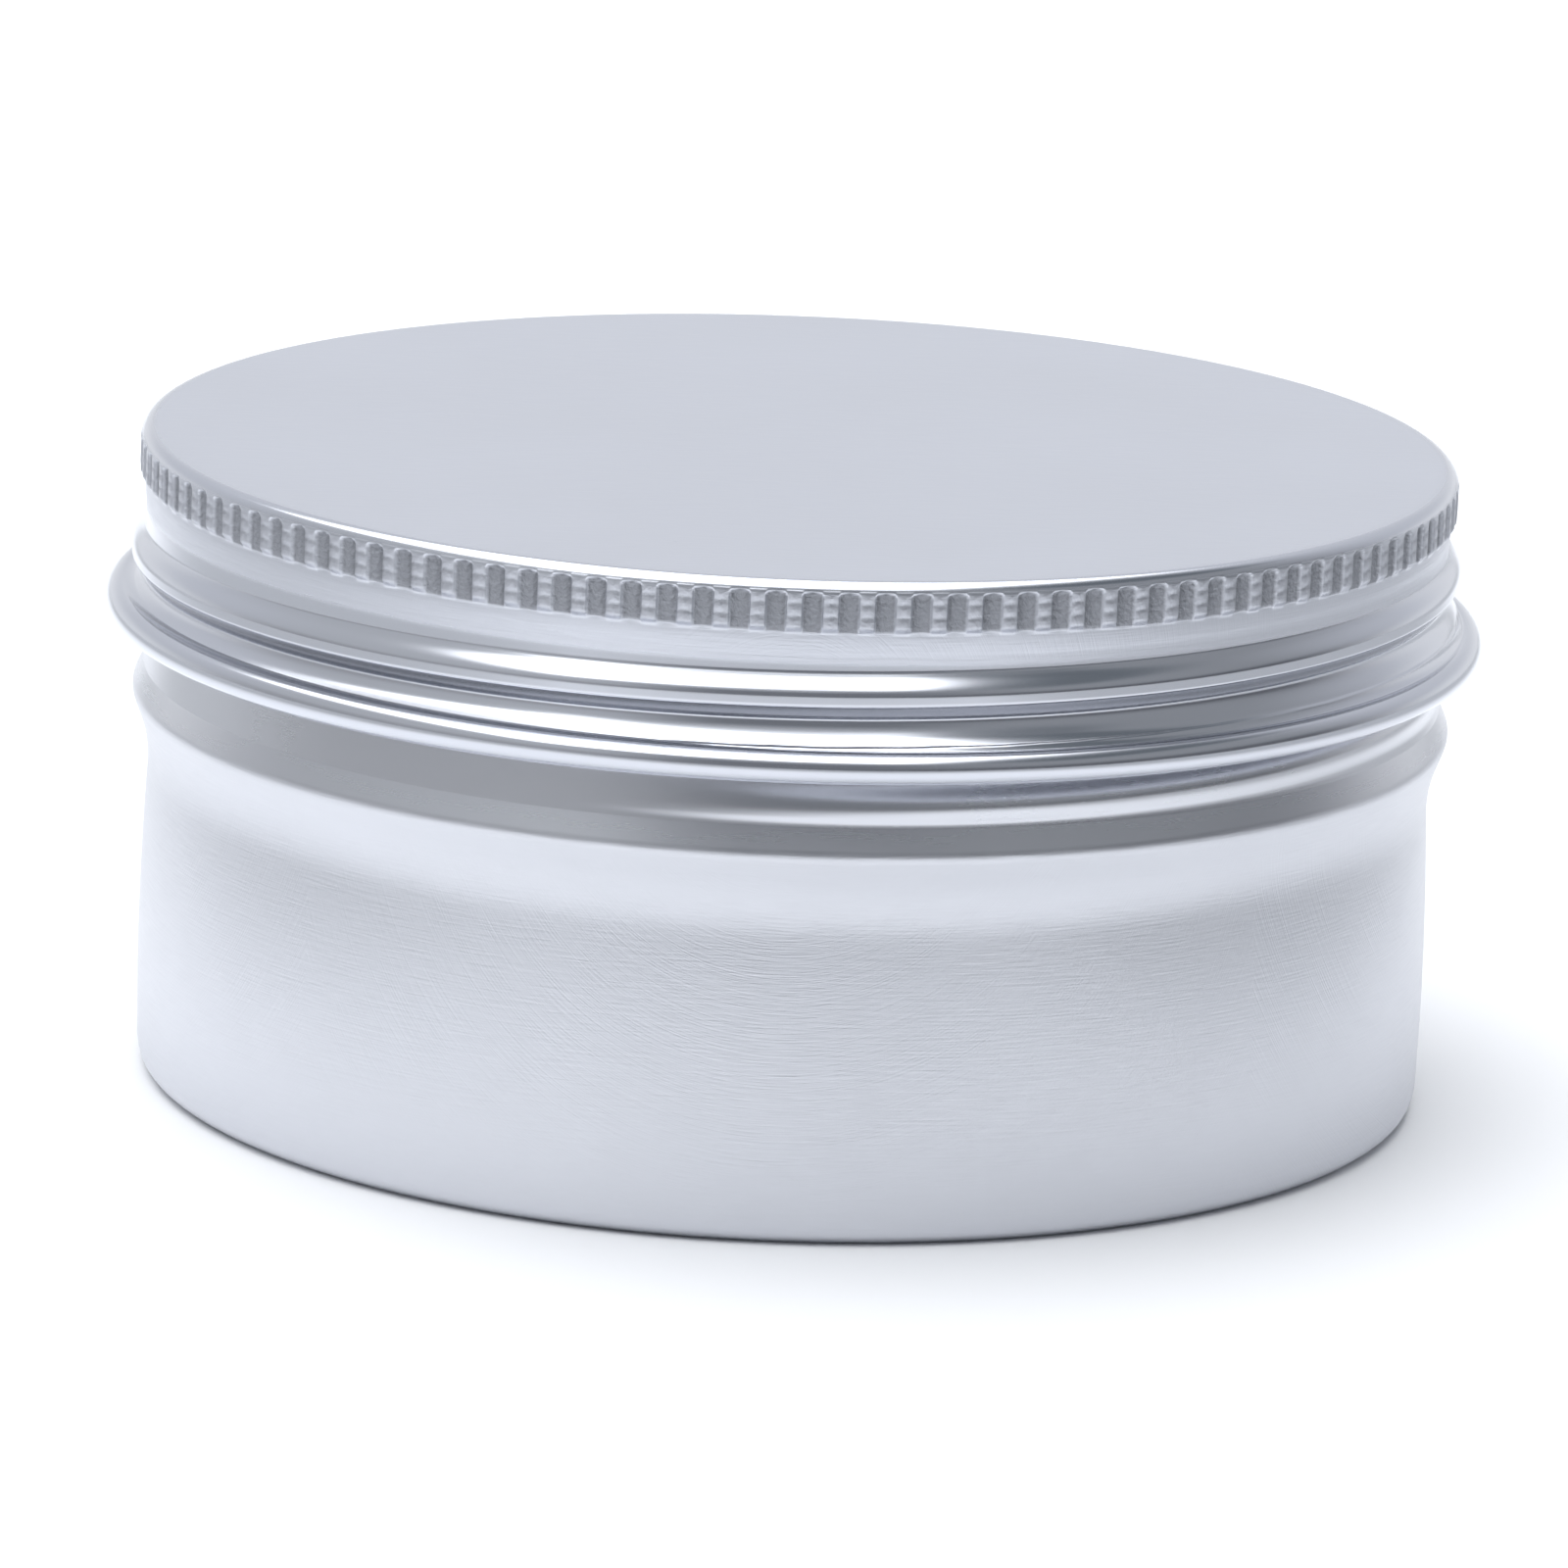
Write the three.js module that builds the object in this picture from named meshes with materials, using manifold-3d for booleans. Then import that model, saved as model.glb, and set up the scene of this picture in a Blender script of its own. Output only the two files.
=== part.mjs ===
// Screw-top aluminium candle tin, 83 mm across and 39 mm high, closed.
// It has three pieces: the drawn cup, the screw lid and the foam disc that seals the lid.
// Millimetres, +Z up. The origin is the centre of the ring that the cup stands on, and the
// front of the tin faces -Y. Azimuths are measured from the front towards +X.

import * as THREE from 'three';
import { mergeGeometries, mergeVertices } from 'three/addons/utils/BufferGeometryUtils.js';
import Module from 'manifold-3d';

const wasm = await Module();
wasm.setup();

// Sheet and roundness
const SHEET = 0.3; // thickness of the aluminium
const FACETS = 60; // flats around every round wall, so each flat holds two knurl flutes
const RESTING_GAP = 0.3; // left between pieces that rest on each other
const MERGE_TOLERANCE = 1e-4;

// Overall heights, with the lid closed
const TIN_HEIGHT = 39.2;
const LINER_THICKNESS = 1;
const CUP_HEIGHT = TIN_HEIGHT - SHEET - LINER_THICKNESS - 2 * RESTING_GAP;

// Cup: body with a slight waist below the bead, threaded neck that narrows, mouth rolled inwards
const BODY_RADIUS = 39.05;
const WAIST_RADIUS = 38.65;
const BODY_CORNER = 1.6;
const WAIST_Z = 19.6; // where the wall starts to flare out to the bead
const BEAD_RADIUS = 39.75;
const BEAD_Z = 23.1;
const BEAD_ROUNDING = 0.4;
const BEAD_FROM = -0.3; // angles at which the rounding meets the flare and the shoulder
const BEAD_TO = 1;
const NECK_BOTTOM = 24.85; // crease between the bead and the neck
const NECK_RADIUS = 39.15;
const NECK_TOP_RADIUS = 38.1;
const NECK_TAPER_TOP = 30; // the neck narrows from its crease up to here
const MOUTH_ROLL = 0.8; // radius of the rolled edge of the mouth
const MOUTH_CURL = 0.75 * Math.PI; // how far the mouth is rolled past upright
const PANEL_RADIUS = 33; // recessed panel in the middle of the bottom
const PANEL_RISE = 0.8;
const PANEL_STEP = 0.8;

// Lid: flat top, knurled rim, plain band, skirt with a rolled-in screw groove, hem rolled out
const RIM_RADIUS = 39.6;
const RIM_EDGE = 0.8; // radius of the edge around the top
const BAND_RADIUS = 39.3;
const SKIRT_RADIUS = 39.98;
const KNURL_TOP = TIN_HEIGHT - 0.6;
const KNURL_BOTTOM = TIN_HEIGHT - 2.95;
const KNURL_COUNT = 2 * FACETS;
const FLUTE_WIDTH = 1.1;
const FLUTE_DEPTH = RIM_RADIUS - BAND_RADIUS;
const HEM_RADIUS = 41.5; // the widest part of the tin
const HEM_ROLL = 0.95;
const HEM_Z = TIN_HEIGHT - 10.5;
const SKIRT_TOP = TIN_HEIGHT - 3.3;
const SKIRT_BOTTOM = TIN_HEIGHT - 9.7;

// Right-hand screw thread, rolled into both sheets. Turns are counted from the front.
const PITCH = 2.9;
const THREAD_ROW = 0.34; // height between the rows of points that carry a thread
const GROOVE_RADIUS = 39.2; // outside of the lid at the bottom of its groove
const GROOVE_START_Z = TIN_HEIGHT - 8; // groove height where it crosses the front, lower turn
const GROOVE_TURNS = [-0.42, 1.45];
const GROOVE_ABOVE = 0.31; // reach of the groove above and below its corner, in pitches
const GROOVE_BELOW = 0.5;
const LAND_END = [0.3, 0.5]; // turns over which the land between the grooves runs out
const RIDGE_HEIGHT = 0.36; // low enough to clear the inside of the lid's groove
const RIDGE_START_Z = 25.95;
const RIDGE_TURNS = [-0.06, 2.4];
const RUN_OUT = 0.12; // turns over which a thread fades in and out

const FULL_TURN = 2 * Math.PI;
const QUARTER = Math.PI / 2;
const point = (r, z) => new THREE.Vector2(r, z);

// Points along an arc, both ends included. Angle 0 points outwards, a quarter turn points up.
function arc(centreR, centreZ, radius, from, to, steps) {
  const points = [];
  for (let i = 0; i <= steps; i++) {
    const angle = from + ((to - from) * i) / steps;
    points.push(point(centreR + radius * Math.cos(angle), centreZ + radius * Math.sin(angle)));
  }
  return points;
}

// Rows of points up a wall whose radius depends on height, both ends included.
function wallRows(fromZ, toZ, radiusAt) {
  const steps = Math.round(Math.abs(toZ - fromZ) / THREAD_ROW);
  const points = [];
  for (let i = 0; i <= steps; i++) {
    const z = fromZ + ((toZ - fromZ) * i) / steps;
    points.push(point(radiusAt(z), z));
  }
  return points;
}

// Turns an outline about +Z. It runs up the outside and down the inside, from axis to axis.
function revolve(outline) {
  return new THREE.LatheGeometry(outline, FACETS).rotateX(QUARTER);
}

// Moves every vertex of a turned wall in or out, by radiusAt(radius, z, azimuth).
function reshape(geometry, radiusAt) {
  const position = geometry.attributes.position;
  for (let i = 0; i < position.count; i++) {
    const [x, y, z] = [position.getX(i), position.getY(i), position.getZ(i)];
    const radius = Math.hypot(x, y);
    if (radius > SHEET) {
      const scale = radiusAt(radius, z, Math.atan2(x, -y)) / radius;
      position.setXY(i, x * scale, y * scale);
    }
  }
  return geometry;
}

// Where a point of a wall lies on a helix: its rise above the first turn in pitches, the
// nearest turn, and how many turns along the helix it is.
function onHelix(z, azimuth, startZ) {
  const rise = (z - startZ) / PITCH - azimuth / FULL_TURN;
  const turn = Math.round(rise);
  return { rise, turn, along: turn + azimuth / FULL_TURN };
}

function runOut(along, [first, last]) {
  const { smoothstep } = THREE.MathUtils;
  return smoothstep(along, first, first + RUN_OUT) * (1 - smoothstep(along, last - RUN_OUT, last));
}

// A closed geometry with merged corners becomes a solid that can be cut and joined.
function toSolid(geometry) {
  const plain = geometry.clone();
  plain.deleteAttribute('normal');
  plain.deleteAttribute('uv');
  const merged = mergeVertices(plain, MERGE_TOLERANCE);
  const corners = merged.index.array;
  const triVerts = [];
  for (let i = 0; i < corners.length; i += 3) {
    const [a, b, c] = corners.slice(i, i + 3);
    if (a !== b && b !== c && c !== a) triVerts.push(a, b, c);
  }
  const vertProperties = merged.attributes.position.array;
  const mesh = new wasm.Mesh({ numProp: 3, vertProperties, triVerts: Uint32Array.from(triVerts) });
  return new wasm.Manifold(mesh);
}

function toGeometry(solid) {
  const mesh = solid.getMesh();
  const geometry = new THREE.BufferGeometry();
  geometry.setAttribute('position', new THREE.BufferAttribute(mesh.vertProperties, 3));
  geometry.setIndex(new THREE.BufferAttribute(mesh.triVerts, 1));
  geometry.computeVertexNormals();
  return geometry;
}

// Outside radius of the neck, without its ridge.
function neckRadius(z) {
  const taper = (z - NECK_BOTTOM) / (NECK_TAPER_TOP - NECK_BOTTOM);
  return THREE.MathUtils.lerp(NECK_RADIUS, NECK_TOP_RADIUS, Math.min(taper, 1));
}

// The outline of the cup: under the bottom, up the outside, over the mouth, down the inside.
function cupOutline() {
  const mouthR = NECK_TOP_RADIUS - MOUTH_ROLL;
  const mouthZ = CUP_HEIGHT - MOUTH_ROLL;
  const cornerR = BODY_RADIUS - BODY_CORNER;
  const innerNeck = NECK_TOP_RADIUS - SHEET;
  return [
    point(0, PANEL_RISE),
    point(PANEL_RADIUS, PANEL_RISE),
    point(PANEL_RADIUS + PANEL_STEP, 0),
    ...arc(cornerR, BODY_CORNER, BODY_CORNER, -QUARTER, 0, 3),
    point(WAIST_RADIUS, WAIST_Z),
    ...arc(BEAD_RADIUS - BEAD_ROUNDING, BEAD_Z, BEAD_ROUNDING, BEAD_FROM, BEAD_TO, 3),
    point(NECK_RADIUS, NECK_BOTTOM),
    ...wallRows(NECK_BOTTOM + SHEET, mouthZ - MOUTH_ROLL, neckRadius),
    ...arc(mouthR, mouthZ, MOUTH_ROLL, 0, QUARTER + MOUTH_CURL, 6),
    point(innerNeck, mouthZ - MOUTH_ROLL - SHEET / 2),
    point(innerNeck, NECK_TAPER_TOP),
    point(NECK_RADIUS - SHEET, NECK_BOTTOM),
    ...arc(BEAD_RADIUS - BEAD_ROUNDING - SHEET, BEAD_Z, BEAD_ROUNDING, BEAD_TO, BEAD_FROM, 2),
    point(WAIST_RADIUS - SHEET, WAIST_Z),
    ...arc(cornerR, BODY_CORNER, BODY_CORNER - SHEET, 0, -QUARTER, 2),
    point(PANEL_RADIUS + PANEL_STEP - SHEET / 2, SHEET),
    point(PANEL_RADIUS - SHEET / 2, PANEL_RISE + SHEET),
    point(0, PANEL_RISE + SHEET),
  ];
}

// The ridge stands out of the outer face of the neck.
function cupGeometry() {
  return reshape(revolve(cupOutline()), (radius, z, azimuth) => {
    const isNeck = Math.abs(radius - neckRadius(z)) < MERGE_TOLERANCE && z > NECK_BOTTOM;
    if (!isNeck) return radius;
    const { rise, turn, along } = onHelix(z, azimuth, RIDGE_START_Z);
    const height = RIDGE_HEIGHT * Math.cos(Math.PI * (rise - turn)) * runOut(along, RIDGE_TURNS);
    return radius + height;
  });
}

// The outline of the lid: under the top, down the inside, around the hem, up the outside.
function lidOutline() {
  const innerTop = TIN_HEIGHT - SHEET;
  const innerBand = BAND_RADIUS - SHEET;
  const hemEntry = Math.acos((SKIRT_RADIUS - HEM_RADIUS + HEM_ROLL) / HEM_ROLL);
  return [
    point(0, innerTop),
    point(innerBand - SHEET, innerTop),
    point(innerBand, innerTop - SHEET),
    point(innerBand, KNURL_BOTTOM),
    ...wallRows(SKIRT_TOP, SKIRT_BOTTOM, () => SKIRT_RADIUS - SHEET),
    ...arc(HEM_RADIUS - HEM_ROLL, HEM_Z, HEM_ROLL, -Math.PI, hemEntry, 10),
    ...wallRows(SKIRT_BOTTOM + THREAD_ROW, SKIRT_TOP, () => SKIRT_RADIUS),
    point(BAND_RADIUS, KNURL_BOTTOM),
    point(RIM_RADIUS, KNURL_BOTTOM + FLUTE_DEPTH),
    ...arc(RIM_RADIUS - RIM_EDGE, TIN_HEIGHT - RIM_EDGE, RIM_EDGE, 0, QUARTER, 3),
    point(0, TIN_HEIGHT),
  ];
}

// How far the lid's thread pushes the skirt inwards. Above the upper turn of the groove the
// skirt stays at the radius of the band. Around the back, the land between the turns runs out.
function threadDepth(z, azimuth) {
  const { smoothstep } = THREE.MathUtils;
  const { rise, turn, along } = onHelix(z, azimuth, GROOVE_START_Z);
  const landTop = 1 - smoothstep(azimuth / FULL_TURN, ...LAND_END);
  const band = (SKIRT_RADIUS - BAND_RADIUS) * smoothstep(rise, landTop - GROOVE_ABOVE / 2, landTop);
  const reach = rise > turn ? GROOVE_ABOVE : GROOVE_BELOW;
  const groove = Math.max(1 - Math.abs(rise - turn) / reach, 0) * runOut(along, GROOVE_TURNS);
  return band + (SKIRT_RADIUS - band - GROOVE_RADIUS) * groove;
}

// The groove is rolled into both faces of the skirt, so it stands out inside as the lid's thread.
function lidGeometry() {
  return reshape(revolve(lidOutline()), (radius, z, azimuth) => {
    const isSkirt = z >= SKIRT_BOTTOM && z <= SKIRT_TOP && radius <= SKIRT_RADIUS;
    return isSkirt ? radius - threadDepth(z, azimuth) : radius;
  });
}

// Upright flutes around the rim, two on each flat, as one set of cutters.
function fluteCutters() {
  const bite = 2 * FLUTE_DEPTH; // each cutter is sunk by half of its radial size
  const flatRadius = RIM_RADIUS * Math.cos(Math.PI / FACETS);
  const flutes = [];
  for (let i = 0; i < KNURL_COUNT; i++) {
    const flute = new THREE.BoxGeometry(FLUTE_WIDTH, bite, KNURL_TOP - KNURL_BOTTOM);
    flute.translate(0, -flatRadius, (KNURL_TOP + KNURL_BOTTOM) / 2);
    flutes.push(flute.rotateZ(((i + 0.5) * FULL_TURN) / KNURL_COUNT));
  }
  return toSolid(mergeGeometries(flutes));
}

function linerOutline() {
  const bottom = CUP_HEIGHT + RESTING_GAP;
  const radius = BAND_RADIUS - SHEET - RESTING_GAP;
  const shave = LINER_THICKNESS / 5;
  return [
    point(0, bottom),
    point(radius - shave, bottom),
    point(radius, bottom + shave),
    point(radius - shave, bottom + LINER_THICKNESS),
    point(0, bottom + LINER_THICKNESS),
  ];
}

const brightAluminium = () =>
  new THREE.MeshStandardMaterial({ color: 0xd3d6dc, roughness: 0.35, metalness: 0.9 });
const whiteFoam = () =>
  new THREE.MeshStandardMaterial({ color: 0xf2f1ec, roughness: 0.9, metalness: 0 });

function piece(name, geometry, material) {
  const mesh = new THREE.Mesh(geometry, material);
  mesh.name = name;
  return mesh;
}

const tin = new THREE.Group();
tin.add(piece('base_cup', cupGeometry(), brightAluminium()));

const lid = new THREE.Group();
const knurledLid = toSolid(lidGeometry()).subtract(fluteCutters());
lid.add(piece('lid_shell', toGeometry(knurledLid), brightAluminium()));
lid.add(piece('lid_liner', revolve(linerOutline()), whiteFoam()));
tin.add(lid);

export default tin;
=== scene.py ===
"""Looks of the screw-top aluminium candle tin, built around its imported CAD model.

Sizes in the shape code are millimetres, as in the CAD, and meshes are scaled to metres at
the end. Azimuth is 0 at the front (-Y) and grows towards +X, the right-hand side.
"""

import math

import bpy
import numpy as np
from mathutils import Matrix, Vector


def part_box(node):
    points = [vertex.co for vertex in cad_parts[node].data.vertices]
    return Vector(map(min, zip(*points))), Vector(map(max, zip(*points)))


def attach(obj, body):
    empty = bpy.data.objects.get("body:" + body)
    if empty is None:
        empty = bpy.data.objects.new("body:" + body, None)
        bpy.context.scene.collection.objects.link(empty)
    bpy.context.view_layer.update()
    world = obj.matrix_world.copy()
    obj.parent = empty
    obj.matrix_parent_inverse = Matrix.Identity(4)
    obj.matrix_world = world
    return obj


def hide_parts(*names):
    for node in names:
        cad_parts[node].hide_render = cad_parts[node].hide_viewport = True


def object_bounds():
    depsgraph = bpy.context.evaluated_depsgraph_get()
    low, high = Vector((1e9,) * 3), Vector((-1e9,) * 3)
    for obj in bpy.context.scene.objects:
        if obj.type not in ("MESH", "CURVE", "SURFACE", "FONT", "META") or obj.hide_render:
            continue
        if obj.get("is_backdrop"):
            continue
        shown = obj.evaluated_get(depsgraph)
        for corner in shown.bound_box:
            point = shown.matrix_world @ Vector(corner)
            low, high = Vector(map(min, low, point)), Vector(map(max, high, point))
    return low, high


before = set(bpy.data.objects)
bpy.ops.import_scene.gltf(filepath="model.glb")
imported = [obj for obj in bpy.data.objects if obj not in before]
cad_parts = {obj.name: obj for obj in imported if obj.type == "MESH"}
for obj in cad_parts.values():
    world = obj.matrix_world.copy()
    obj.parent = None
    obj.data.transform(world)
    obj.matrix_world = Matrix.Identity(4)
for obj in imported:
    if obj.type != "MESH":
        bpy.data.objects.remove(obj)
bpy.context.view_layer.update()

MM = 0.001
TIN_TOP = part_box("lid_shell")[1].z / MM
CUP_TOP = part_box("base_cup")[1].z / MM
LINER_BOTTOM, LINER_TOP = (corner.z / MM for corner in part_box("lid_liner"))
LINER_R = 38.6

# Sheet and thread, as in the CAD. Places along the thread are in turns from the front.
SHEET = 0.3
PITCH = 2.9
GROOVE_START_H = 8.0  # depth below the top where the groove's lower turn crosses the front
GROOVE_TURNS = (-0.42, 1.45)
LAND_END = (0.3, 0.5)
RIDGE_HEIGHT = 0.36
RIDGE_START_Z = 25.95
RIDGE_TURNS = (-0.06, 2.4)
RUN_OUT = 0.12

# Columns of points around the tin. Eight to a flute at the knurl, four or two elsewhere.
# The places across a flute are degrees from its middle.
FLUTES = 120
FLUTE_STEP = 360 / FLUTES
FLUTE_COLUMNS = np.array([-1.5, -0.95, -0.85, -0.70, 0.0, 0.70, 0.85, 0.95])
FLUTE_MIDDLES = (np.arange(FLUTES)[:, None] + 0.5) * FLUTE_STEP
FINE = np.radians((FLUTE_MIDDLES + FLUTE_COLUMNS).ravel())
HALF = FINE[::2]
COARSE = FINE[::4]


def smooth(x, low, high):
    """0 below low, 1 above high, with a soft step between them."""
    t = np.clip((x - low) / (high - low), 0, 1)
    return t * t * (3 - 2 * t)


def arc(centre_r, centre_z, radius, start, end, steps):
    """Points of an arc as (r, z). Angle 0 points outwards and 90 up, in degrees."""
    angles = np.radians(np.linspace(start, end, steps + 1))
    return [(centre_r + radius * math.cos(t), centre_z + radius * math.sin(t)) for t in angles]


def rounded(corners, steps=5):
    """Points along straight runs through (r, z, fillet radius) corners, each corner rounded."""
    points = []
    for before, (r, z, fillet), after in zip(corners, corners[1:], corners[2:]):
        here = np.array([r, z])
        to_before, to_after = (np.array(p[:2]) - here for p in (before, after))
        to_before, to_after = (v / np.linalg.norm(v) for v in (to_before, to_after))
        half = math.acos(np.clip(to_before @ to_after, -1, 1)) / 2
        reach = fillet / math.tan(half)
        start, end = here + to_before * reach, here + to_after * reach
        for t in np.linspace(0, 1, steps + 1):
            points.append(tuple((1 - t) ** 2 * start + 2 * t * (1 - t) * here + t * t * end))
    return [tuple(corners[0][:2]), *points, tuple(corners[-1][:2])]


def ring(angles, radius, z):
    """One row of points around the axis. radius and z are numbers or arrays along angles."""
    radius = np.broadcast_to(radius, angles.shape)
    z = np.broadcast_to(z, angles.shape)
    return np.column_stack([radius * np.sin(angles), -radius * np.cos(angles), z])


def pole(z):
    """A row of one point, on the axis."""
    return np.array([[0.0, 0.0, z]])


def bridge(a, na, b, nb):
    """Faces between a row of na points starting at index a and the next row of nb."""
    if na == 1:
        return [(a, b + (j + 1) % nb, b + j) for j in range(nb)]
    if nb == 1:
        return [(a + j, a + (j + 1) % na, b) for j in range(na)]
    if na == nb:
        return [(a + j, a + (j + 1) % na, b + (j + 1) % na, b + j) for j in range(na)]
    faces = []
    if nb == 2 * na:
        for j in range(na):
            p, q = a + j, a + (j + 1) % na
            s, t, u = b + 2 * j, b + 2 * j + 1, b + (2 * j + 2) % nb
            faces += [(p, t, s), (p, q, t), (q, u, t)]
    elif na == 2 * nb:
        for j in range(nb):
            p, q = b + j, b + (j + 1) % nb
            s, t, u = a + 2 * j, a + 2 * j + 1, a + (2 * j + 2) % na
            faces += [(s, t, p), (t, q, p), (t, u, q)]
    else:
        raise ValueError(f"rows of {na} and {nb} points don't join")
    return faces


def turned_piece(name, rows):
    """A closed smooth mesh through rows of points, each joined to the next."""
    starts = np.cumsum([0] + [len(row) for row in rows])
    faces = []
    for i in range(len(rows) - 1):
        faces += bridge(int(starts[i]), len(rows[i]), int(starts[i + 1]), len(rows[i + 1]))
    mesh = bpy.data.meshes.new(name)
    mesh.from_pydata((np.vstack(rows) * MM).tolist(), [], faces)
    mesh.polygons.foreach_set("use_smooth", [True] * len(mesh.polygons))
    mesh.update()
    piece = bpy.data.objects.new(name, mesh)
    bpy.context.scene.collection.objects.link(piece)
    return piece


def on_helix(z, azimuth, start_z):
    """Distance above the nearest turn of the thread, in pitches, and turns from the front."""
    rise = (z - start_z) / PITCH - azimuth / (2 * math.pi)
    turn = np.round(rise)
    return rise - turn, turn + azimuth / (2 * math.pi)


def run_out(along, turns):
    """1 along the thread between its two ends, fading to 0 at both. All are in turns."""
    first, last = turns
    return smooth(along, first, first + RUN_OUT) * (1 - smooth(along, last - RUN_OUT, last))


def azimuth_of(angles):
    """Angles brought to -180 to 180 degrees, in radians."""
    return (angles + math.pi) % (2 * math.pi) - math.pi


# --- the cup -------------------------------------------------------------------------------

PANEL_R, PANEL_Z = 33.0, 0.8  # the panel drawn up inside the standing ring
STANDING_R, STANDING_Z = 33.8, 0.0
FOOT_R, BULGE_Z = 38.93, 7.0  # the body is widest at BULGE_Z
BODY_R = 39.05
WAIST_R, WAIST_Z = 38.65, 19.6
FLARE_Z = 20.1  # where the waist turns out towards the bead
BEAD_R, BEAD_Z = 39.84, 23.25
CREASE_Z, TAPER_TOP = 24.85, 30.0
NECK_R, NECK_TOP_R = 39.15, 38.1
SEEN_TOP = 29.0  # the neck can be seen up to here, so its rows of points are closer
MOUTH_ROLL = 0.8
INNER_R = 8  # the ring of points next to the axis


def neck_radius(z, angles):
    """Outside of the threaded neck, which narrows upwards, with one ridge winding up it."""
    azimuth = azimuth_of(angles)
    above, along = on_helix(z, azimuth, RIDGE_START_Z)
    crest = 0.5 + 0.5 * np.cos(2 * np.pi * np.clip(above * 1.1, -0.5, 0.5))
    start = smooth(z, CREASE_Z, CREASE_Z + 0.6)
    plain = NECK_R + (NECK_TOP_R - NECK_R) * min((z - CREASE_Z) / (TAPER_TOP - CREASE_Z), 1.0)
    return plain + RIDGE_HEIGHT * crest * run_out(along, RIDGE_TURNS) * start


def body_radius(z):
    """Outside of the body, which draws in a little towards its waist below the bead."""
    return BODY_R - (BODY_R - WAIST_R) * np.clip((z - BULGE_Z) / (WAIST_Z - BULGE_Z), 0, 1) ** 2


def cup_rows():
    """From the middle of the underside, up the outside, over the mouth and down the inside."""
    rows = [pole(PANEL_Z)]
    under = rounded([(INNER_R, PANEL_Z, 0), (PANEL_R, PANEL_Z, 0.5),
                     (STANDING_R, STANDING_Z, 0.35), (FOOT_R, STANDING_Z, 1.6),
                     (body_radius(6), 6, 0)], 8)
    rows += [ring(COARSE, r, z) for r, z in under]
    for z in np.linspace(6.5, 17.0, 12):
        rows.append(ring(COARSE, body_radius(z), z))
    body = rounded([(body_radius(17.6), 17.6, 0), (WAIST_R, FLARE_Z, 9),
                    (BEAD_R, BEAD_Z, 1.2), (NECK_R, CREASE_Z, 0.15),
                    (NECK_R - 0.12, CREASE_Z + 0.6, 0)], 9)
    rows += [ring(COARSE, r, z) for r, z in body[:-1]]
    for z in np.arange(CREASE_Z + 0.18, SEEN_TOP, 0.08):
        rows.append(ring(COARSE, neck_radius(z, COARSE), z))
    for z in np.arange(SEEN_TOP + 0.05, CUP_TOP - 2.2, 0.16):
        rows.append(ring(COARSE, neck_radius(z, COARSE), z))
    roll_r, roll_z = NECK_TOP_R - MOUTH_ROLL, CUP_TOP - MOUTH_ROLL
    rows += [ring(COARSE, r, z) for r, z in arc(roll_r, roll_z, MOUTH_ROLL, 0, 225, 20)]
    inner_top, inner_neck, inner_body = NECK_TOP_R - SHEET, NECK_R - SHEET, BODY_R - SHEET
    inside = rounded([(inner_top - 0.1, roll_z - 0.9, 0), (inner_top, roll_z - 1.3, 0.3),
                      (inner_top, 34.4, 0)], 3)
    rows += [ring(COARSE, r, z) for r, z in inside]
    for z in np.arange(34.2, CREASE_Z + 0.3, -0.2):
        rows.append(ring(COARSE, neck_radius(z, COARSE) - SHEET, z))
    lower = rounded([(inner_neck, CREASE_Z + 0.25, 0), (inner_neck, CREASE_Z - 0.1, 0.2),
                     (39.4, 23.2, 0.4), (WAIST_R - SHEET, 20.0, 0.8),
                     (inner_body, STANDING_Z + SHEET, 1.3),
                     (STANDING_R - 0.1, STANDING_Z + SHEET, 0.4),
                     (PANEL_R - 0.2, PANEL_Z + SHEET, 0.5), (INNER_R, PANEL_Z + SHEET, 0)], 6)
    rows += [ring(COARSE, r, z) for r, z in lower]
    rows.append(pole(PANEL_Z + SHEET))
    return rows


# --- the lid -------------------------------------------------------------------------------

# Names with H are depths below the top.
RIM_R = 39.6
RIM_EDGE = 0.8  # radius of the rounded edge of the top
BAND_R = 39.3
BAND_LEAN = 0.12  # how far the band draws in below the knurl
SKIRT_R = 39.98
GROOVE_R = 39.2
GROOVE_WALL, GROOVE_FLOOR = 0.9, 1.85  # how far the groove reaches up and down from its corner
KNURL_H = (0.5, 3.05)
DENT_H = (1.25, 2.0)  # two dents in each rib
DENT_DEPTH, DENT_HEIGHT = 0.1, 0.15
SKIRT_H = (3.1, 9.72)
FLARE_H = 8.85  # where the skirt starts to bend out over the hem
FLARE_OUT = 0.33
HEM_R = 41.5
HEM_ROLL = 0.95
HEM_H = 10.5


def thread_depth(below, along):
    """1 in the corner of the groove and 0 on the land. below is the distance under the corner."""
    reach = GROOVE_FLOOR - 0.35 * smooth(along, 0.15, 0.5)
    wall = np.clip(1 + below / GROOVE_WALL, 0, 1)
    return np.where(below < 0, wall, 1 - smooth(below / reach, 0, 1))


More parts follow.
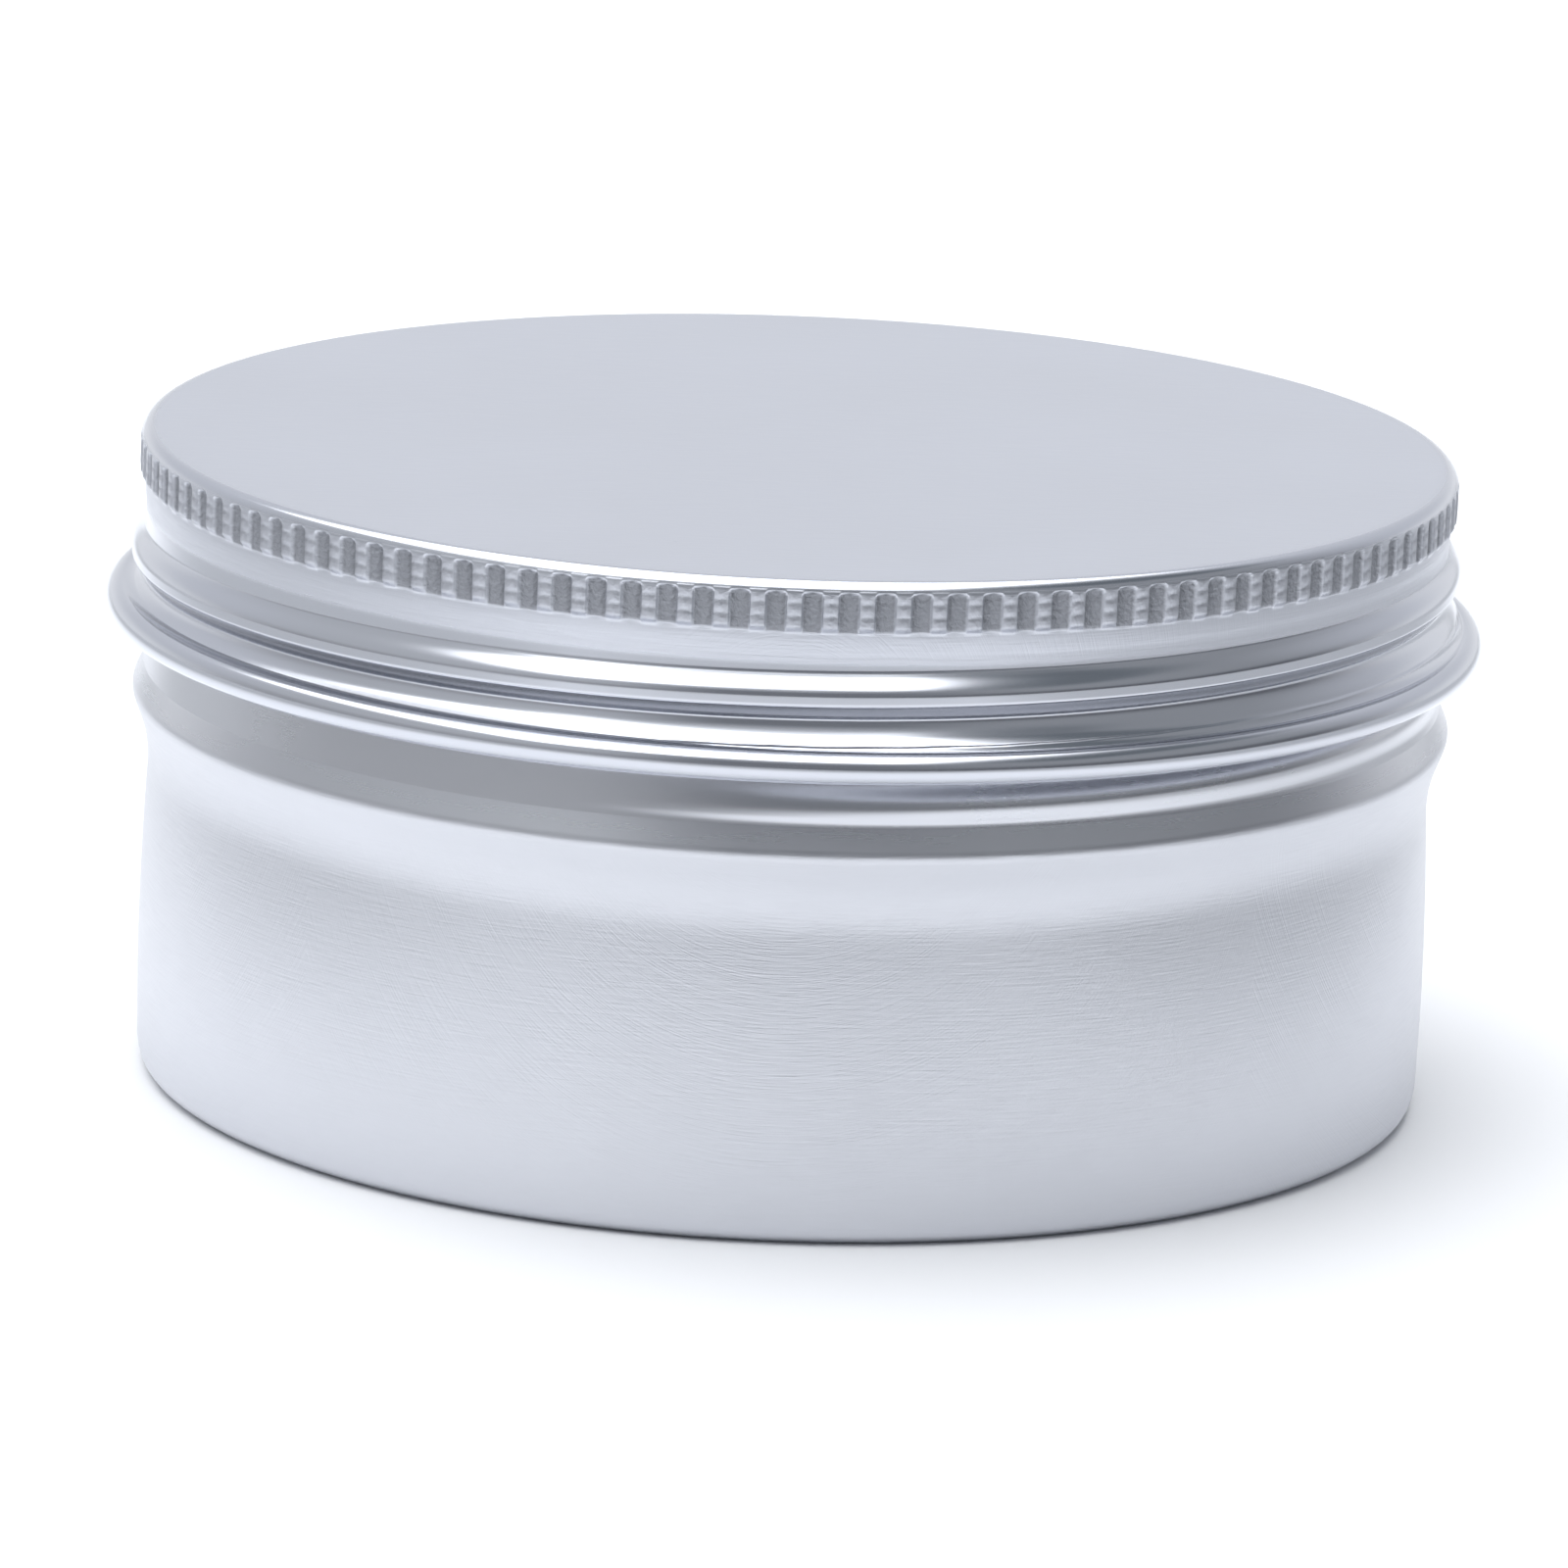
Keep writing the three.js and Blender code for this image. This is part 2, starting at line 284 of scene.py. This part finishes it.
def skirt_radius(h, angles):
    """Outside of the skirt at a depth h below the top: the band, then the rolled thread."""
    azimuth = azimuth_of(angles)
    above, along = on_helix(-h, azimuth, -GROOVE_START_H)
    steps = (-0.08, -0.04, 0, 0.04, 0.08)  # averaging over these rounds the corner
    nearby = [thread_depth(-above * PITCH + step, along) for step in steps]
    groove = np.mean(nearby, axis=0) * run_out(along, GROOVE_TURNS)
    # Above its upper turn the skirt stays at the radius of the band under the knurl. Around
    # the back the land between the two turns runs out.
    rise = (-h + GROOVE_START_H) / PITCH - azimuth / (2 * math.pi)
    turns = azimuth / (2 * math.pi)
    land_top = 1 - smooth(turns, *LAND_END)
    land = 1 - smooth(rise, land_top - 0.12 - 0.25 * smooth(turns, 0.2, 0.35), land_top)
    band = BAND_R - BAND_LEAN * smooth(h, KNURL_H[1], KNURL_H[1] + 2)
    outer = band + (SKIRT_R - band) * land
    return outer - (outer - GROOVE_R) * groove


def recess(h, angles):
    """1 in the flutes of the knurl, 0 on the ribs between them."""
    offset = np.degrees(angles) % FLUTE_STEP - FLUTE_STEP / 2
    across = 1 - smooth(np.abs(offset), 0.72, 0.92)
    top = KNURL_H[0] + 0.22 * (offset / 0.9) ** 2  # flutes have round heads
    return across * smooth(h, top, top + 0.16)


def knurl_radius(h, angles, full_radius):
    """Ribs at the full radius, which sink into the band at their feet, with flutes between."""
    feet = smooth(h, KNURL_H[1] - 0.5, KNURL_H[1])
    ribs = full_radius + (BAND_R - full_radius) * feet
    from_rib = (np.degrees(angles) + FLUTE_STEP / 2) % FLUTE_STEP - FLUTE_STEP / 2
    dents = sum(np.exp(-((h - dent_h) / DENT_HEIGHT) ** 2) for dent_h in DENT_H)
    ribs = ribs - DENT_DEPTH * dents * (np.abs(from_rib) < 0.1)
    return ribs + (BAND_R - ribs) * recess(h, angles)


def lid_rows():
    """From the middle of the underside, down the inside, around the hem, up and over the top."""
    rows = [pole(TIN_TOP - SHEET)]
    inside_r = BAND_R - SHEET
    inner = rounded([(10, SHEET, 0), (inside_r, SHEET, 0.5), (inside_r, 1.4, 0)], 5)
    rows += [ring(HALF, r, TIN_TOP - h) for r, h in inner]
    for h in np.arange(1.5, KNURL_H[1], 0.25):
        rows.append(ring(HALF, knurl_radius(h, HALF, RIM_R) - SHEET, TIN_TOP - h))
    for h in np.arange(SKIRT_H[0], SKIRT_H[1], 0.14):
        rows.append(ring(COARSE, skirt_radius(h, COARSE) - SHEET, TIN_TOP - h))
    hem_r, hem_z = HEM_R - HEM_ROLL, TIN_TOP - HEM_H
    rows += [ring(COARSE, r, z) for r, z in arc(hem_r, hem_z, HEM_ROLL, -180, 104, 34)]
    hem_top = HEM_H - HEM_ROLL
    for h in np.arange(hem_top - 0.03, SKIRT_H[0] + 0.04, -0.055):
        flare = FLARE_OUT * np.clip((h - FLARE_H) / (hem_top - FLARE_H), 0, 1) ** 2
        rows.append(ring(COARSE, skirt_radius(h, COARSE) + flare, TIN_TOP - h))
    under_knurl = SKIRT_H[0] + 0.02
    rows.append(ring(HALF, skirt_radius(under_knurl, HALF), TIN_TOP - under_knurl))
    for h in np.arange(SKIRT_H[0], RIM_EDGE, -0.1):
        rows.append(ring(FINE, knurl_radius(h, FINE, RIM_R), TIN_TOP - h))
    edge_r = RIM_R - RIM_EDGE
    for r, z in arc(edge_r, TIN_TOP - RIM_EDGE, RIM_EDGE, 0, 90, 18):
        rows.append(ring(FINE, knurl_radius(TIN_TOP - z, FINE, r), z))
    rows.append(ring(HALF, 38.4, TIN_TOP))
    rows += [ring(COARSE, r, TIN_TOP) for r in (36, 24, 10)]
    rows.append(pole(TIN_TOP))
    return rows


def liner_rows():
    """A disc of foam with softly rounded edges."""
    middle = (LINER_BOTTOM + LINER_TOP) / 2
    outline = rounded([(9, LINER_BOTTOM, 0), (LINER_R, LINER_BOTTOM, 0.22), (LINER_R, middle, 0),
                       (LINER_R, LINER_TOP, 0.22), (9, LINER_TOP, 0)], 4)
    rows = [ring(COARSE, r, z) for r, z in outline]
    return [pole(LINER_BOTTOM), *rows, pole(LINER_TOP)]


# --- materials -----------------------------------------------------------------------------


def shader(name, **sockets):
    """A Principled material with values set on its own sockets."""
    material = bpy.data.materials.new(name)
    material.use_nodes = True
    bsdf = material.node_tree.nodes["Principled BSDF"]
    for key, value in sockets.items():
        bsdf.inputs[key.replace("_", " ")].default_value = value
    return material, material.node_tree, bsdf


class Graph:
    """Short calls for building a node tree."""

    def __init__(self, tree):
        self.tree = tree

    def node(self, kind, inputs=(), **settings):
        made = self.tree.nodes.new(kind)
        for key, value in settings.items():
            setattr(made, key, value)
        for key, value in dict(inputs).items():
            if isinstance(value, bpy.types.NodeSocket):
                self.tree.links.new(value, made.inputs[key])
            else:
                made.inputs[key].default_value = value
        return made

    def math(self, operation, *values):
        return self.node("ShaderNodeMath", enumerate(values), operation=operation).outputs[0]

    def ramp(self, value, low, high, start=0.0, end=1.0):
        """A soft step from start at low to end at high."""
        inputs = {"Value": value, "From Min": low, "From Max": high, "To Min": start, "To Max": end}
        made = self.node("ShaderNodeMapRange", inputs, interpolation_type="SMOOTHSTEP")
        return made.outputs["Result"]

    def window(self, value, low, high, blur):
        """1 between low and high, 0 outside, with soft edges."""
        rise = self.ramp(value, low - blur, low + blur)
        fall = self.ramp(value, high - blur, high + blur, 1.0, 0.0)
        return self.math("MULTIPLY", rise, fall)

    def mix(self, factor, a, b):
        inputs = {0: factor, 6: a, 7: b}
        return self.node("ShaderNodeMix", inputs, data_type="RGBA").outputs[2]


def unrolled(graph, position, is_level):
    """The surface laid out flat in X and Z: the walls unrolled, the top and bottom as they are."""
    axes = graph.node("ShaderNodeSeparateXYZ", {0: position}).outputs
    azimuth = graph.math("ARCTAN2", axes["X"], graph.math("MULTIPLY", axes["Y"], -1.0))
    around = graph.math("MULTIPLY", azimuth, BODY_R * MM)
    wall = graph.node("ShaderNodeCombineXYZ", {"X": around, "Z": axes["Z"]}).outputs[0]
    level = graph.node("ShaderNodeCombineXYZ", {"X": axes["X"], "Z": axes["Y"]}).outputs[0]
    mixed = {"Factor": is_level, 4: wall, 5: level}
    return graph.node("ShaderNodeMix", mixed, data_type="VECTOR").outputs[1]


def noise(graph, vector, scale, detail):
    """Noise from 0 to 1."""
    inputs = {"Vector": vector, "Scale": scale, "Detail": detail}
    return graph.node("ShaderNodeTexNoise", inputs).outputs["Fac"]


def attribute(graph, name):
    """A value that mark() stored on the points of the mesh."""
    return graph.node("ShaderNodeAttribute", attribute_name=name).outputs["Fac"]


def bump(graph, height, bsdf):
    """Height, in metres, drives the normal of the shader."""
    inputs = {"Height": height, "Distance": 1.0, "Strength": 1.0}
    made = graph.node("ShaderNodeBump", inputs)
    graph.tree.links.new(made.outputs["Normal"], bsdf.inputs["Normal"])


SCRATCH_ANGLES = (0.5, -0.6, 0.15, 1.4, -1.1)
SCRATCH_SCALE = (350, 1, 7000)  # long along X and fine along Z, before they are turned


def scratches(graph, flat):
    """A height from 0 to 1 of fine scratches that run in several directions."""
    total = 0.0
    for i, angle in enumerate(SCRATCH_ANGLES):
        place = {"Vector": flat, "Location": (0, i, 0), "Rotation": (0, angle, 0),
                 "Scale": SCRATCH_SCALE}
        stretched = graph.node("ShaderNodeMapping", place).outputs[0]
        total = graph.math("ADD", total, noise(graph, stretched, 1.0, 1.0))
    return graph.math("DIVIDE", total, len(SCRATCH_ANGLES))


ARC_CENTRE_Z = 0.03
ARC_SCALE = (11000.0, 4.0)  # across the marks, per metre, and along them, per radian


def arc_marks(graph, position):
    """Brush marks that bow down the wall in wide arcs, four sets around the tin."""
    axes = graph.node("ShaderNodeSeparateXYZ", {0: position}).outputs
    azimuth = graph.math("ARCTAN2", axes["X"], graph.math("MULTIPLY", axes["Y"], -1.0))
    azimuth = graph.math("WRAP", azimuth, -math.pi / 4, math.pi / 4)
    around = graph.math("MULTIPLY", azimuth, BODY_R * MM)
    down = graph.math("SUBTRACT", ARC_CENTRE_Z, axes["Z"])
    squares = [graph.math("POWER", graph.math("ABSOLUTE", side), 2.0) for side in (around, down)]
    reach = graph.math("SQRT", graph.math("ADD", *squares))
    bearing = graph.math("ARCTAN2", around, down)
    place = graph.node("ShaderNodeCombineXYZ", {
        "X": graph.math("MULTIPLY", reach, ARC_SCALE[0]),
        "Y": graph.math("MULTIPLY", bearing, ARC_SCALE[1]),
    })
    return noise(graph, place.outputs[0], 1.0, 1.0)


LEVEL_NORMAL = 0.85  # above this rise of the normal a face counts as level
PATCH_SCALE, GRAIN_SCALE, SPECK_SCALE, CELL_SCALE = 70.0, 3800.0, 110.0, 2600.0  # per metre
SPECK_EDGE = (0.006, 0.012)
SPECK_RARITY, SPECK_STRENGTH = 0.7, 0.6
SPECK_COLOUR = (0.12, 0.12, 0.13, 1)
DULL_AND_SHADE = 0.62  # how much darker the flutes' own duller finish is, and the painted shade on the wall above the groove of the thread, against the base

# What the marks add to the roughness and, in metres, to the height. Where there are two
# values, the first is for the satin parts and the second for the polished ones.
CUT_ROUGH, PATCH_ROUGH, STREAK_ROUGH = 0.28, 0.07, (0.35, 0.05)
SCRATCH_HEIGHT, ARC_HEIGHT = (2.0e-5, 0.06e-5), (0.9e-5, 0.0)
CUT_HEIGHT, CELL_HEIGHT = 9e-5, 6e-5


def aluminium(name, base, satin, polished):
    """Satin aluminium, polished where it was rolled and rough in the flutes of the knurl.

    The attributes that a piece doesn't have, such as recess on the cup, read as 0.
    """
    material, tree, bsdf = shader(name, Metallic=1.0)
    graph = Graph(tree)
    position = graph.node("ShaderNodeTexCoord").outputs["Object"]
    polish = attribute(graph, "polish")
    cut = attribute(graph, "recess")
    painted_shade = attribute(graph, "painted_shade")

    normal = graph.node("ShaderNodeTexCoord").outputs["Normal"]
    rise = graph.math("ABSOLUTE", graph.node("ShaderNodeSeparateXYZ", {0: normal}).outputs["Z"])
    is_level = graph.math("GREATER_THAN", rise, LEVEL_NORMAL)
    fine = scratches(graph, unrolled(graph, position, is_level))
    arcs = arc_marks(graph, position)
    soft = noise(graph, position, PATCH_SCALE, 2.0)
    grain = noise(graph, position, GRAIN_SCALE, 2.0)

    rough = graph.node("ShaderNodeMapRange", {"Value": polish, "To Min": satin, "To Max": polished})
    rough = graph.math("ADD", rough.outputs["Result"], graph.math("MULTIPLY", cut, CUT_ROUGH))
    patches = graph.math("MULTIPLY", graph.math("SUBTRACT", soft, 0.5), PATCH_ROUGH)
    streaks = graph.math("MULTIPLY", graph.math("SUBTRACT", fine, 0.5),
                         graph.ramp(polish, 0.0, 0.6, *STREAK_ROUGH))
    rough = graph.math("ADD", rough, graph.math("ADD", patches, streaks))
    graph.tree.links.new(rough, bsdf.inputs["Roughness"])

    # A dark speck in the middle of some of the cells
    dull_and_shade = tuple(DULL_AND_SHADE * c for c in base[:3]) + (1,)
    pits = graph.node("ShaderNodeTexVoronoi", {"Vector": position, "Scale": SPECK_SCALE})
    speck = graph.ramp(pits.outputs["Distance"], *SPECK_EDGE, 1.0, 0.0)
    chance = graph.node("ShaderNodeSeparateColor", {0: pits.outputs["Color"]}).outputs[0]
    speck = graph.math("MULTIPLY", speck, graph.math("GREATER_THAN", chance, SPECK_RARITY))
    # Darker in the flutes, which are duller, and on the wall above the groove of the thread, where
    # the darkening is painted shade
    colour = graph.mix(graph.math("MAXIMUM", cut, painted_shade), base, dull_and_shade)
    colour = graph.mix(graph.math("MULTIPLY", speck, SPECK_STRENGTH), colour, SPECK_COLOUR)
    graph.tree.links.new(colour, bsdf.inputs["Base Color"])

    fine = graph.math("MULTIPLY", fine, graph.ramp(polish, 0.0, 0.6, *SCRATCH_HEIGHT))
    arcs = graph.math("MULTIPLY", arcs, graph.ramp(polish, 0.0, 0.3, *ARC_HEIGHT))
    arcs = graph.math("MULTIPLY", arcs, graph.math("SUBTRACT", 1.0, is_level))
    marks = graph.math("ADD", fine, arcs)
    rough_cut = graph.math("MULTIPLY", graph.math("MULTIPLY", cut, grain), CUT_HEIGHT)
    bump(graph, graph.math("ADD", marks, rough_cut), bsdf)
    return material


def white_foam(name):
    """Soft matt foam with fine closed cells."""
    material, tree, bsdf = shader(name, Base_Color=(0.86, 0.86, 0.84, 1), Roughness=0.85)
    graph = Graph(tree)
    position = graph.node("ShaderNodeTexCoord").outputs["Object"]
    cells = graph.node("ShaderNodeTexVoronoi", {"Vector": position, "Scale": CELL_SCALE})
    bump(graph, graph.math("MULTIPLY", cells.outputs["Distance"], CELL_HEIGHT), bsdf)
    return material


def mark(piece, name, measure):
    """Stores measure(radius, z, azimuth), in millimetres and radians, on every point."""
    count = len(piece.data.vertices)
    points = np.empty(count * 3)
    piece.data.vertices.foreach_get("co", points)
    x, y, z = points.reshape(count, 3).T / MM
    values = measure(np.hypot(x, y), z, np.arctan2(x, -y))
    layer = piece.data.attributes.new(name, "FLOAT", "POINT")
    layer.data.foreach_set("value", values.astype(np.float32))


def lid_polish(radius, z, azimuth):
    """The rolled thread, the hem and the edge of the top are the polished parts."""
    h = TIN_TOP - z
    edge = smooth(radius, 38.7, 39.0) * (1 - smooth(h, 0.35, 0.6))
    return np.maximum(smooth(h, SKIRT_H[0] + 1.3, SKIRT_H[0] + 2.2), edge)


def lid_recess(radius, z, azimuth):
    """1 in the flutes, down to feet that differ a little, and 0.3 on the ribs between them."""
    h = TIN_TOP - z
    flute = np.floor(np.degrees(azimuth) / FLUTE_STEP)
    foot = KNURL_H[1] - 0.1 - 0.16 * np.sin(flute * 12.9) ** 2
    zone = (1 - smooth(h, foot - 0.05, foot + 0.1)) * (radius > BAND_R - 0.1)
    return np.maximum(recess(h, azimuth), 0.3 * smooth(h, 0.7, 0.9)) * zone


def lid_painted_shade(radius, z, azimuth):
    """1 on the wall above the groove of the thread, where painted shade darkens the colour to stand
    in for the shade in the groove.
    """
    h = TIN_TOP - z
    above, along = on_helix(-h, azimuth, -GROOVE_START_H)
    wall = smooth(above * PITCH, 0.02, 0.12) * (1 - smooth(above * PITCH, 0.5, 0.95))
    outside = (radius > skirt_radius(h, azimuth) - 0.1) & (h > GROOVE_START_H - 2.2)
    return wall * run_out(along, GROOVE_TURNS) * outside * (h < SKIRT_H[1])


def cup_polish(radius, z, azimuth):
    """The rolled neck and the mouth are smoother than the wall."""
    return 0.6 * smooth(z, 23.0, 24.0)


cup = turned_piece("cup", cup_rows())
lid = turned_piece("screw_lid", lid_rows())
liner = turned_piece("foam_disc", liner_rows())
mark(cup, "polish", cup_polish)
mark(lid, "polish", lid_polish)
mark(lid, "recess", lid_recess)
# Painted shade: marks the wall above the thread's groove, whose colour is darkened
mark(lid, "painted_shade", lid_painted_shade)

CUP_COLOUR = (0.64, 0.652, 0.692, 1)
LID_COLOUR = (0.632, 0.649, 0.702, 1)
cup.data.materials.append(aluminium("cup_aluminium", CUP_COLOUR, satin=0.36, polished=0.2))
lid.data.materials.append(aluminium("lid_aluminium", LID_COLOUR, satin=0.34, polished=0.17))
liner.data.materials.append(white_foam("liner_foam"))

for piece, body, node, slot in (
    (cup, "cup", "base_cup", "cup_aluminium"),
    (lid, "lid", "lid_shell", "lid_aluminium"),
    (liner, "liner", "lid_liner", "liner_foam"),
):
    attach(piece, body)
    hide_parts(node)

# --- stage ---------------------------------------------------------------------------------

# A pale table, white near the tin and greyer to the sides and the front, where the wall of the
# tin reflects it.
FLOOR_HALF = 4.0
NEAR_COLOUR = (0.93, 0.935, 0.95, 1)
FAR_COLOUR = (0.46, 0.465, 0.475, 1)
NEAR_END, FAR_START = 0.088, 0.235  # metres in front of the tin's axis
RIGHT_FACTOR, LEFT_FACTOR = 1.85, -1.5  # the greying starts nearer at the sides
BACK_EASE = 0.35  # and opens out towards the back

floor_mesh = bpy.data.meshes.new("floor")
corners = [(x * FLOOR_HALF, y * FLOOR_HALF, 0) for x, y in ((-1, -1), (1, -1), (1, 1), (-1, 1))]
floor_mesh.from_pydata(corners, [], [(0, 1, 2, 3)])
floor = bpy.data.objects.new("floor", floor_mesh)
bpy.context.scene.collection.objects.link(floor)
floor_material, floor_tree, floor_bsdf = shader("white_table", Roughness=0.6)
table = Graph(floor_tree)
spot = table.node("ShaderNodeSeparateXYZ", {0: table.node("ShaderNodeTexCoord").outputs["Object"]})
aside = table.math("MAXIMUM", table.math("MULTIPLY", spot.outputs["X"], RIGHT_FACTOR),
                   table.math("MULTIPLY", spot.outputs["X"], LEFT_FACTOR))
behind = table.math("MULTIPLY", table.math("MAXIMUM", spot.outputs["Y"], 0.0), BACK_EASE)
before = table.math("MULTIPLY", spot.outputs["Y"], -1.0)
far = table.math("MAXIMUM", table.math("SUBTRACT", aside, behind), before)
pale = table.mix(table.ramp(far, NEAR_END, FAR_START), NEAR_COLOUR, FAR_COLOUR)
floor_tree.links.new(pale, floor_bsdf.inputs["Base Color"])
floor_mesh.materials.append(floor_material)
floor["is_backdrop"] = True

# A bright room: a pale wall behind the tin, a dimmer room in front with a dim patch in its
# middle, a wide softbox overhead with a dim gap to its right.
WALL_HIGH, WALL_LOW = (0.7, 0.72, 0.77, 1), (0.9, 0.915, 0.945, 1)
FRONT_LEFT, FRONT_RIGHT = (0.56, 0.58, 0.605, 1), (0.34, 0.355, 0.375, 1)
FRONT_LOW_LEFT, FRONT_LOW_RIGHT = (0.43, 0.44, 0.46, 1), (0.14, 0.145, 0.16, 1)
PATCH_COLOUR = (0.22, 0.23, 0.25, 1)
GAP_COLOUR = (0.16, 0.18, 0.2, 1)
SOFTBOX_LIGHT = (3.0, 3.05, 3.1, 1)
UNDER_COLOUR = (0.8, 0.82, 0.86, 1)

world = bpy.data.worlds.new("studio")
bpy.context.scene.world = world
world.use_nodes = True
sky = Graph(world.node_tree)
towards = sky.node("ShaderNodeTexCoord").outputs["Generated"]
axes = sky.node("ShaderNodeSeparateXYZ", {0: towards}).outputs
# Where a direction meets a level ceiling one metre up
height = sky.math("MAXIMUM", axes["Z"], 0.02)
across = sky.math("DIVIDE", axes["X"], height)
deep = sky.math("DIVIDE", axes["Y"], height)

front = sky.mix(sky.ramp(axes["X"], -0.5, 0.6), FRONT_LEFT, FRONT_RIGHT)
low = sky.mix(sky.ramp(axes["X"], -0.7, 0.3), FRONT_LOW_LEFT, FRONT_LOW_RIGHT)
front = sky.mix(sky.ramp(axes["Z"], 0.12, 0.42), low, front)
back = sky.mix(sky.ramp(axes["Z"], 0.1, 0.34), WALL_LOW, WALL_HIGH)
room = sky.mix(sky.ramp(axes["Y"], 0.0, 0.8), front, back)
patch = sky.math("MULTIPLY", sky.window(axes["X"], -0.35, 0.4, 0.2),
                 sky.window(axes["Z"], 0.12, 0.62, 0.1))
patch = sky.math("MULTIPLY", patch, sky.ramp(axes["Y"], -0.1, -0.5))
room = sky.mix(patch, room, PATCH_COLOUR)
gap = sky.math("MULTIPLY", sky.window(across, 0.5, 0.95, 0.12), sky.window(deep, -0.7, 0.5, 0.3))
room = sky.mix(gap, room, GAP_COLOUR)
box = sky.math("MULTIPLY", sky.window(across, -0.85, 0.36, 0.1), sky.window(deep, -0.8, 0.9, 0.12))
room = sky.mix(box, room, SOFTBOX_LIGHT)
under = sky.ramp(axes["Z"], -0.02, 0.0, 1.0, 0.0)
room = sky.mix(under, room, UNDER_COLOUR)
world.node_tree.links.new(room, world.node_tree.nodes["Background"].inputs["Color"])

# --- camera --------------------------------------------------------------------------------

# Fitted to the photo, in metres. The lens and the sensor are in millimetres.
DISTANCE = 0.609
ELEVATION = math.radians(13.67)
ROLL = math.radians(2.32)
AIM_RIGHT, AIM_UP = -0.00018, 0.01733
LENS, SENSOR = 228.9, 36

forward = Vector((0, math.cos(ELEVATION), -math.sin(ELEVATION)))
right = Vector((1, 0, 0))
up = right.cross(forward)
camera_data = bpy.data.cameras.new("camera")
camera_data.sensor_width = SENSOR
camera_data.lens = LENS
camera = bpy.data.objects.new("camera", camera_data)
place = right * AIM_RIGHT + up * AIM_UP - forward * DISTANCE
rolled_right = right * math.cos(ROLL) + up * math.sin(ROLL)
rolled_up = up * math.cos(ROLL) - right * math.sin(ROLL)
turn = Matrix((rolled_right, rolled_up, -forward)).transposed().to_4x4()
camera.matrix_world = Matrix.Translation(place) @ turn
bpy.context.scene.collection.objects.link(camera)
bpy.context.scene.camera = camera
bpy.context.scene.view_settings.view_transform = "Standard"

low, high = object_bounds()
